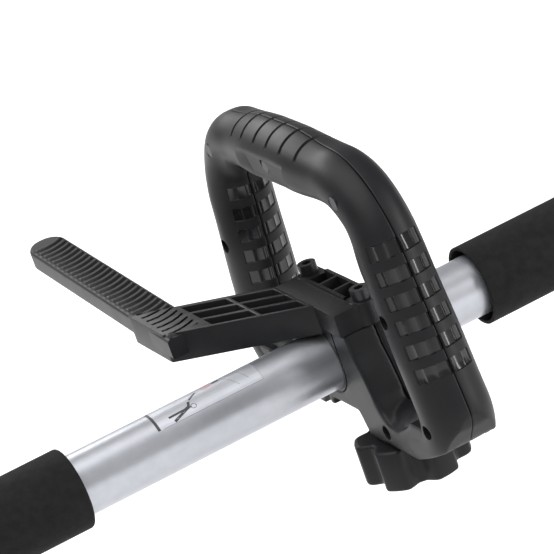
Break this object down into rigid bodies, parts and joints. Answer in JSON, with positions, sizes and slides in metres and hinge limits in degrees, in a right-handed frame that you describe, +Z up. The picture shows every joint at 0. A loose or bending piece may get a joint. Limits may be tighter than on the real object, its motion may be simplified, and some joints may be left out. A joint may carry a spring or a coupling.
{
  "type": "string trimmer",
  "caption": "Battery string trimmer: tubular shaft with clamped loop handle, ribbed barrier bar, star knob, rear trigger handle, motor head, line spool and guard.",
  "frame": {"origin": "centre of the harness eyelet's bore, above the shaft's axis", "axes": "+X along the shaft towards the cutting head, +Y to the operator's left and along the eyelet's bore, +Z up through the loop handle's top bar"},
  "size_m": [1.7562, 0.3827, 0.2835],
  "materials": {
    "tube_metal": "satin",
    "grip_plastic": "fine spark-eroded texture",
    "sleeve_foam": "matt",
    "casing_dark": "fine texture",
    "accent_plastic": "satin",
    "guard_plastic": "satin",
    "bolt_steel": "black oxide",
    "bright_steel": "zinc plated",
    "spring_steel": "bright",
    "brass_part": "turned",
    "copper_part": "enamelled winding",
    "board_green": "board",
    "cell_wrap": "shrink wrap",
    "line_nylon": "extruded",
    "lead_rubber": "matt",
    "laminated_steel": "laminated",
    "release_orange": "satin"
  },
  "bodies": {
    "shaft": {"upper_tube": "tube_metal", "lower_tube": "tube_metal", "joint_spigot": "tube_metal", "joint_sleeve": "sleeve_foam", "joint_screws": "bolt_steel", "lock_pin_spring": "spring_steel", "shaft_sleeve": "sleeve_foam", "upper_power_lead": "lead_rubber", "lower_power_lead": "lead_rubber", "lead_connector": "accent_plastic", "eyelet_bracket": "bright_steel", "eyelet_screw": "bolt_steel", "handle_shell_left": "casing_dark", "handle_shell_right": "casing_dark", "casing_screws": "bolt_steel", "control_pins": "bright_steel", "trigger_spring": "spring_steel", "lock_off_spring": "spring_steel", "speed_switch": "accent_plastic", "control_board": "board_green", "terminal_block": "brass_part", "head_shell_left": "casing_dark", "head_shell_right": "casing_dark", "motor_can": "bright_steel", "motor_end_cap": "tube_metal", "spindle_bearings": "bright_steel", "stator": "laminated_steel", "windings": "copper_part", "guard": "guard_plastic", "guard_screws": "bolt_steel", "line_cutter": "bright_steel", "blade_screws": "bolt_steel"},
    "lock_pin": {"lock_pin": "bright_steel"},
    "clamp_liner": {"clamp_liner": "lead_rubber"},
    "loop_handle": {"loop_rear_shell": "grip_plastic", "loop_front_shell": "grip_plastic", "loop_shell_screws": "bolt_steel", "barrier_bar": "grip_plastic", "clamp_bolts": "bolt_steel", "clamp_nut": "bright_steel"},
    "star_knob": {"star_knob": "grip_plastic", "knob_insert": "brass_part", "knob_washer": "bright_steel"},
    "trigger": {"trigger": "release_orange"},
    "lock_off_lever": {"lock_off_lever": "release_orange"},
    "battery": {"battery_case": "accent_plastic", "battery_cap": "casing_dark", "battery_cells": "cell_wrap", "latch_spring": "spring_steel"},
    "battery_latch": {"battery_latch": "release_orange"},
    "cutting_head": {"rotor": "laminated_steel", "spindle": "bright_steel", "drive_hub": "tube_metal", "spool_housing": "guard_plastic", "line_eyelets": "bright_steel", "cutting_line": "line_nylon", "spool_cover": "guard_plastic", "bump_spring": "spring_steel"},
    "bump_knob": {"bump_knob": "accent_plastic"},
    "spool": {"spool_with_line": "line_nylon"}
  },
  "joints": [
    {"name": "handle_slide", "type": "slide", "parent": "shaft", "child": "clamp_liner", "axis": [1, 0, 0], "range_m": [-0.09, 0.04]},
    {"name": "handle_turn", "type": "hinge", "parent": "clamp_liner", "child": "loop_handle", "pos_m": [0.325, 0, -0.032], "axis": [1, 0, 0], "range_deg": [-30, 30]},
    {"name": "knob_turn", "type": "hinge", "parent": "loop_handle", "child": "star_knob", "pos_m": [0.325, -0.026, -0.0656], "axis": [0, 0, -1], "range_deg": [0, 1080]},
    {"name": "lock_pin_pull", "type": "slide", "parent": "shaft", "child": "lock_pin", "axis": [0, 0, 1], "range_m": [0, 0.004], "stiffness_N_per_m": 1500, "springref_m": -0.004, "deforming": ["lock_pin_spring"]},
    {"name": "trigger_pull", "type": "hinge", "parent": "shaft", "child": "trigger", "pos_m": [-0.095, 0, -0.046], "axis": [0, 1, 0], "range_deg": [0, 13], "stiffness_Nm_per_rad": 0.4, "springref_deg": -17.19},
    {"name": "lock_off_press", "type": "hinge", "parent": "shaft", "child": "lock_off_lever", "pos_m": [-0.112, 0, -0.021], "axis": [0, -1, 0], "range_deg": [0, 7], "stiffness_Nm_per_rad": 0.3, "springref_deg": -11.46, "deforming": ["lock_off_spring"]},
    {"name": "battery_slide", "type": "slide", "parent": "shaft", "child": "battery", "axis": [-1, 0, 0], "range_m": [0, 0.075]},
    {"name": "latch_press", "type": "slide", "parent": "battery", "child": "battery_latch", "axis": [0, 0, -1], "range_m": [0, 0.003], "stiffness_N_per_m": 900, "springref_m": -0.003, "deforming": ["latch_spring"]},
    {"name": "spindle_spin", "type": "hinge", "parent": "shaft", "child": "cutting_head", "pos_m": [1.21574, 0, -0.08119], "axis": [-0.5299, 0, 0.848], "continuous": true},
    {"name": "bump_press", "type": "slide", "parent": "cutting_head", "child": "bump_knob", "axis": [-0.5299, 0, 0.848], "range_m": [0, 0.005], "stiffness_N_per_m": 1200, "springref_m": -0.008, "deforming": ["bump_spring"]},
    {"name": "spool_feed", "type": "hinge", "parent": "bump_knob", "child": "spool", "pos_m": [1.22845, 0, -0.10154], "axis": [-0.5299, 0, 0.848], "continuous": true}
  ]
}
